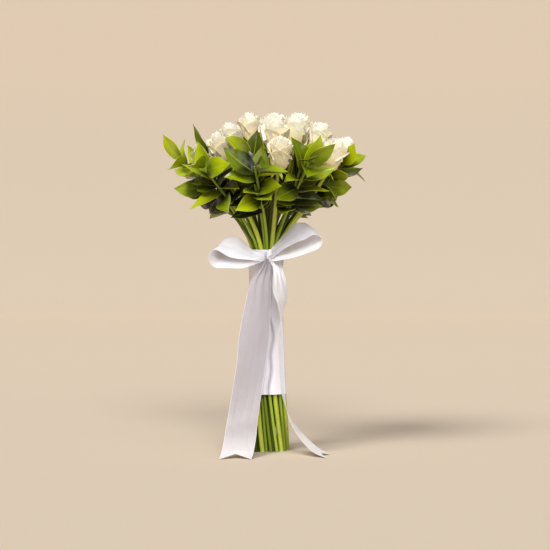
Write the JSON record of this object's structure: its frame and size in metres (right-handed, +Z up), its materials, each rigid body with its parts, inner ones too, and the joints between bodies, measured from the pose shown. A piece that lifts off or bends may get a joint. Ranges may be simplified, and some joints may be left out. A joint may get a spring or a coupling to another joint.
{
  "type": "rose bouquet",
  "caption": "Hand-tied bouquet of cream roses in a collar of ruscus leaves, standing on its spiral-tied stems, with a satin sleeve and a long-tailed satin bow.",
  "frame": {"origin": "on the table the stems stand on, under the middle of the bouquet's outline", "axes": "+Z up along the stems, the bow faces -Y, +X to the viewer's right"},
  "size_m": [0.3293, 0.3498, 0.5417],
  "materials": {
    "petal_cream": "soft petal",
    "rose_stem_green": "green stem",
    "ruscus_green": "glossy leaf",
    "satin_white": "satin",
    "tie_green": "floral tape"
  },
  "bodies": {
    "root": {"rose_bloom_01": "petal_cream", "rose_bloom_02": "petal_cream", "rose_bloom_03": "petal_cream", "rose_bloom_04": "petal_cream", "rose_bloom_05": "petal_cream", "rose_bloom_06": "petal_cream", "rose_bloom_07": "petal_cream", "rose_bloom_08": "petal_cream", "rose_bloom_09": "petal_cream", "rose_bloom_10": "petal_cream", "rose_bloom_11": "petal_cream", "rose_bloom_12": "petal_cream", "rose_bloom_13": "petal_cream", "rose_bloom_14": "petal_cream", "rose_bloom_15": "petal_cream", "rose_bloom_16": "petal_cream", "rose_bloom_17": "petal_cream", "rose_bloom_18": "petal_cream", "rose_bloom_19": "petal_cream", "rose_bloom_20": "petal_cream", "rose_stem_01": "rose_stem_green", "rose_stem_02": "rose_stem_green", "rose_stem_03": "rose_stem_green", "rose_stem_04": "rose_stem_green", "rose_stem_05": "rose_stem_green", "rose_stem_06": "rose_stem_green", "rose_stem_07": "rose_stem_green", "rose_stem_08": "rose_stem_green", "rose_stem_09": "rose_stem_green", "rose_stem_10": "rose_stem_green", "rose_stem_11": "rose_stem_green", "rose_stem_12": "rose_stem_green", "rose_stem_13": "rose_stem_green", "rose_stem_14": "rose_stem_green", "rose_stem_15": "rose_stem_green", "rose_stem_16": "rose_stem_green", "rose_stem_17": "rose_stem_green", "rose_stem_18": "rose_stem_green", "rose_stem_19": "rose_stem_green", "rose_stem_20": "rose_stem_green", "ruscus_stem_01": "ruscus_green", "ruscus_stem_02": "ruscus_green", "ruscus_stem_03": "ruscus_green", "ruscus_stem_04": "ruscus_green", "ruscus_stem_05": "ruscus_green", "ruscus_stem_06": "ruscus_green", "ruscus_stem_07": "ruscus_green", "ruscus_stem_08": "ruscus_green", "ruscus_stem_09": "ruscus_green", "ruscus_stem_10": "ruscus_green", "ruscus_stem_11": "ruscus_green", "ruscus_stem_12": "ruscus_green", "ruscus_stem_13": "ruscus_green", "ruscus_stem_14": "ruscus_green", "ruscus_stem_15": "ruscus_green", "ruscus_stem_16": "ruscus_green", "binding_tie": "tie_green", "satin_sleeve": "satin_white", "satin_bow": "satin_white"}
  },
  "joints": []
}
